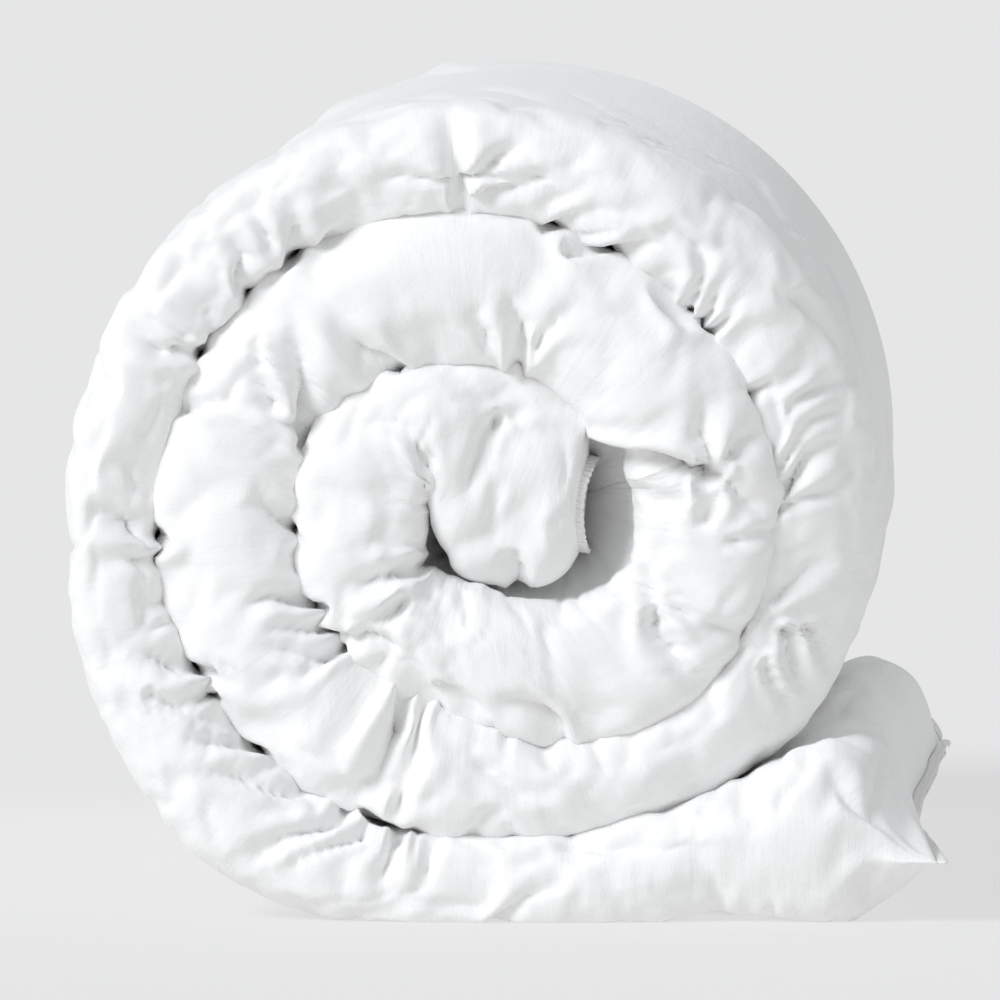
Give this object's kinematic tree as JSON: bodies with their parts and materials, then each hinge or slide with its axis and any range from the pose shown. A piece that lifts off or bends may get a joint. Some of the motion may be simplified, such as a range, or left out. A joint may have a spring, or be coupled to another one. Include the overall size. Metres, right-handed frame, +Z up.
{
  "type": "rolled duvet",
  "caption": "White down-filled duvet, folded in half along its length and rolled up, resting on its own loose tail end.",
  "frame": {"origin": "on the floor, below the middle of the bounding box", "axes": "+Z up, +Y along the roll from the folded end to the open end with the hems, +X the way the tail points"},
  "size_m": [0.3838, 0.675, 0.3622],
  "materials": {
    "face_cotton": "plain close-woven cotton cambric, matt with a faint sheen",
    "back_cotton": "plain close-woven cotton cambric, matt",
    "down_fill": "loose down and feather fill, matt",
    "baffle_cambric": "thin cotton cambric strip, matt",
    "hem_thread": "overlocked cotton hem, matt"
  },
  "bodies": {
    "roll": {"back_cover_roll": "back_cotton", "baffle_1": "baffle_cambric", "baffle_2": "baffle_cambric", "baffle_3": "baffle_cambric", "baffle_4": "baffle_cambric", "baffle_5": "baffle_cambric", "baffle_6": "baffle_cambric", "down_row1_fold": "down_fill", "down_row1_inner_edge": "down_fill", "down_row1_inner_middle": "down_fill", "down_row1_outer_edge": "down_fill", "down_row1_outer_middle": "down_fill", "down_row2_fold": "down_fill", "down_row2_inner_edge": "down_fill", "down_row2_inner_middle": "down_fill", "down_row2_outer_edge": "down_fill", "down_row2_outer_middle": "down_fill", "down_row3_fold": "down_fill", "down_row3_inner_edge": "down_fill", "down_row3_inner_middle": "down_fill", "down_row3_outer_edge": "down_fill", "down_row3_outer_middle": "down_fill", "down_row4_fold": "down_fill", "down_row4_inner_edge": "down_fill", "down_row4_inner_middle": "down_fill", "down_row4_outer_edge": "down_fill", "down_row4_outer_middle": "down_fill", "down_row5_fold": "down_fill", "down_row5_inner_edge": "down_fill", "down_row5_inner_middle": "down_fill", "down_row5_outer_edge": "down_fill", "down_row5_outer_middle": "down_fill", "down_row6_fold": "down_fill", "down_row6_inner_edge": "down_fill", "down_row6_inner_middle": "down_fill", "down_row6_outer_edge": "down_fill", "down_row6_outer_middle": "down_fill", "end_hem_core": "hem_thread", "face_cover_roll": "face_cotton", "side_hem_inner_roll": "hem_thread", "side_hem_outer_roll": "hem_thread"},
    "tail": {"back_cover_tail": "back_cotton", "down_tail_fold": "down_fill", "down_tail_inner_edge": "down_fill", "down_tail_inner_middle": "down_fill", "down_tail_outer_edge": "down_fill", "down_tail_outer_middle": "down_fill", "end_hem_tail": "hem_thread", "face_cover_tail": "face_cotton", "side_hem_inner_tail": "hem_thread", "side_hem_outer_tail": "hem_thread"}
  },
  "joints": [
    {"name": "tail_lift", "type": "hinge", "parent": "roll", "child": "tail", "pos_m": [0.09391, 0, 0.05665], "axis": [0, -1, 0], "range_deg": [0, 20]}
  ]
}
